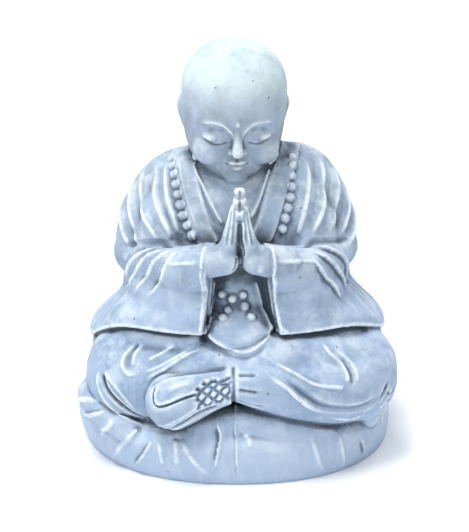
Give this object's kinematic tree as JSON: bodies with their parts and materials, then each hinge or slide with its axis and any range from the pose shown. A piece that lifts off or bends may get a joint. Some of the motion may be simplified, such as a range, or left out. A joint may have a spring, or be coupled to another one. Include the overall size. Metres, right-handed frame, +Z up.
{
  "type": "cast stone monk statue",
  "caption": "Cast stone garden statue of a seated monk with joined hands, crossed legs, draped robe and bead strings on a low cloth-covered base.",
  "frame": {"origin": "middle of the flat underside of the base", "axes": "+Z up, the monk faces -Y, and +X is the monk's left side"},
  "size_m": [0.2704, 0.251, 0.3426],
  "materials": {
    "cast_stone": "matt blue-grey cast stone, dry-brushed with white on its raised folds"
  },
  "bodies": {
    "root": {"monk_statue": "cast_stone"}
  },
  "joints": []
}
